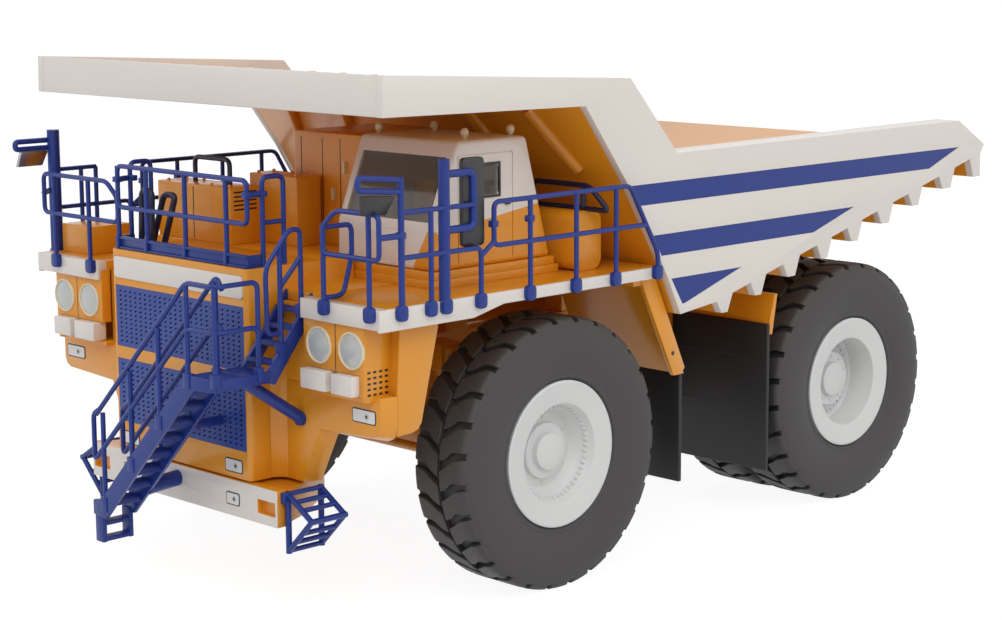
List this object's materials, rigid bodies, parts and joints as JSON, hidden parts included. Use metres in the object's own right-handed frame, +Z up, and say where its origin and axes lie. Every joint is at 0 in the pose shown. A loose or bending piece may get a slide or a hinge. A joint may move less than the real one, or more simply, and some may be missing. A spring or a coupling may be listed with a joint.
{
  "type": "scale model mining dump truck",
  "caption": "Scale model of a rigid mining dump truck with a tipping body, steered front wheels, twin rear wheels, cab, decks, railings and a diagonal stair.",
  "frame": {"origin": "on the ground under the middle of the truck", "axes": "+Z up, front faces -Y, +X is the driver's side"},
  "size_m": [0.1408, 0.265, 0.13],
  "materials": {
    "orange_paint": "smooth satin paint",
    "white_paint": "smooth satin paint",
    "white_plastic": "satin",
    "orange_plastic": "satin",
    "blue_paint": "smooth satin paint",
    "blue_plastic": "satin",
    "tyre": "matte",
    "rim_paint": "satin",
    "black_rubber": "matte",
    "dark_plastic": "satin",
    "hoist_metal": "satin steel",
    "lens": "clear faceted",
    "smoked_glass": "clear"
  },
  "bodies": {
    "root": {"bumper": "orange_paint", "cab": "white_plastic", "cab_glass": "smoked_glass", "cabinet": "orange_plastic", "corner_box": "orange_plastic", "deck_left": "orange_paint", "deck_right": "orange_paint", "edge_band_left": "white_paint", "edge_band_right": "white_paint", "flaps": "black_rubber", "frame_rails": "orange_paint", "front_axle": "orange_paint", "front_box": "orange_plastic", "grille_lower": "blue_plastic", "grille_upper": "blue_plastic", "hood": "orange_paint", "hood_plate": "white_plastic", "hood_railing": "blue_plastic", "lamp_blocks": "white_plastic", "lamps": "lens", "lower_stair": "blue_plastic", "middle_floor": "orange_paint", "mirror_left": "dark_plastic", "mirror_right": "dark_plastic", "railing_left": "blue_plastic", "railing_right": "blue_plastic", "rear_axle": "orange_paint", "rear_guards": "orange_plastic", "seats": "orange_plastic", "side_box": "orange_plastic", "step_cages": "blue_plastic", "tank": "orange_plastic", "upper_stair": "blue_plastic"},
    "knuckle_left": {"knuckle_left": "orange_paint"},
    "knuckle_right": {"knuckle_right": "orange_paint"},
    "front_wheel_left": {"front_tyre_left": "tyre", "front_rim_left": "rim_paint"},
    "front_wheel_right": {"front_tyre_right": "tyre", "front_rim_right": "rim_paint"},
    "rear_wheel_left": {"rear_tyres_left": "tyre", "rear_rim_left": "rim_paint"},
    "rear_wheel_right": {"rear_tyres_right": "tyre", "rear_rim_right": "rim_paint"},
    "tie_rod": {"tie_rod": "orange_paint"},
    "dump_body": {"tub": "orange_paint", "body_side_left": "white_paint", "body_side_right": "white_paint", "stripes": "blue_paint", "canopy_edge": "white_paint"},
    "hoist_barrel_left": {"hoist_barrel_left": "hoist_metal"},
    "hoist_stage_left": {"hoist_stage_left": "hoist_metal"},
    "hoist_rod_left": {"hoist_rod_left": "hoist_metal"},
    "hoist_barrel_right": {"hoist_barrel_right": "hoist_metal"},
    "hoist_stage_right": {"hoist_stage_right": "hoist_metal"},
    "hoist_rod_right": {"hoist_rod_right": "hoist_metal"}
  },
  "joints": [
    {"name": "steer_left", "type": "hinge", "parent": "root", "child": "knuckle_left", "pos_m": [0.046, -0.0454, 0.0342], "axis": [0, 0, 1], "range_deg": [-25, 25]},
    {"name": "roll_front_left", "type": "hinge", "parent": "knuckle_left", "child": "front_wheel_left", "pos_m": [0.0567, -0.0454, 0.0342], "axis": [1, 0, 0], "continuous": true},
    {"name": "roll_rear_left", "type": "hinge", "parent": "root", "child": "rear_wheel_left", "pos_m": [0.0537, 0.077, 0.0342], "axis": [1, 0, 0], "continuous": true},
    {"name": "steer_right", "type": "hinge", "parent": "root", "child": "knuckle_right", "pos_m": [-0.046, -0.0454, 0.0342], "axis": [0, 0, 1], "range_deg": [-25, 25]},
    {"name": "roll_front_right", "type": "hinge", "parent": "knuckle_right", "child": "front_wheel_right", "pos_m": [-0.0567, -0.0454, 0.0342], "axis": [1, 0, 0], "continuous": true},
    {"name": "roll_rear_right", "type": "hinge", "parent": "root", "child": "rear_wheel_right", "pos_m": [-0.0537, 0.077, 0.0342], "axis": [1, 0, 0], "continuous": true},
    {"name": "tie_shift", "type": "slide", "parent": "root", "child": "tie_rod", "axis": [1, 0, 0], "range_m": [-0.0047, 0.0047]},
    {"name": "tip", "type": "hinge", "parent": "root", "child": "dump_body", "pos_m": [0, 0.0926, 0.064], "axis": [-1, 0, 0], "range_deg": [0, 45]},
    {"name": "hoist_swing_left", "type": "hinge", "parent": "root", "child": "hoist_barrel_left", "pos_m": [0.022, 0.0246, 0.028], "axis": [-1, 0, 0], "range_deg": [0, 5]},
    {"name": "hoist_stage_out_left", "type": "slide", "parent": "hoist_barrel_left", "child": "hoist_stage_left", "axis": [0, 0.2305, 0.9731], "range_m": [0, 0.0235]},
    {"name": "hoist_rod_out_left", "type": "slide", "parent": "hoist_stage_left", "child": "hoist_rod_left", "axis": [0, 0.2305, 0.9731], "range_m": [0, 0.0235]},
    {"name": "hoist_swing_right", "type": "hinge", "parent": "root", "child": "hoist_barrel_right", "pos_m": [-0.022, 0.0246, 0.028], "axis": [-1, 0, 0], "range_deg": [0, 5]},
    {"name": "hoist_stage_out_right", "type": "slide", "parent": "hoist_barrel_right", "child": "hoist_stage_right", "axis": [0, 0.2305, 0.9731], "range_m": [0, 0.0235]},
    {"name": "hoist_rod_out_right", "type": "slide", "parent": "hoist_stage_right", "child": "hoist_rod_right", "axis": [0, 0.2305, 0.9731], "range_m": [0, 0.0235]}
  ],
  "couplings": [
    {"joint": "steer_right", "follows": "steer_left", "ratio": 1},
    {"joint": "tie_shift", "follows": "steer_left", "m_per_rad": 0.01046},
    {"joint": "hoist_swing_left", "follows": "tip", "ratio": 0.1},
    {"joint": "hoist_stage_out_left", "follows": "tip", "m_per_rad": 0.028513},
    {"joint": "hoist_rod_out_left", "follows": "tip", "m_per_rad": 0.028513},
    {"joint": "hoist_swing_right", "follows": "tip", "ratio": 0.1},
    {"joint": "hoist_stage_out_right", "follows": "tip", "m_per_rad": 0.028513},
    {"joint": "hoist_rod_out_right", "follows": "tip", "m_per_rad": 0.028513}
  ]
}
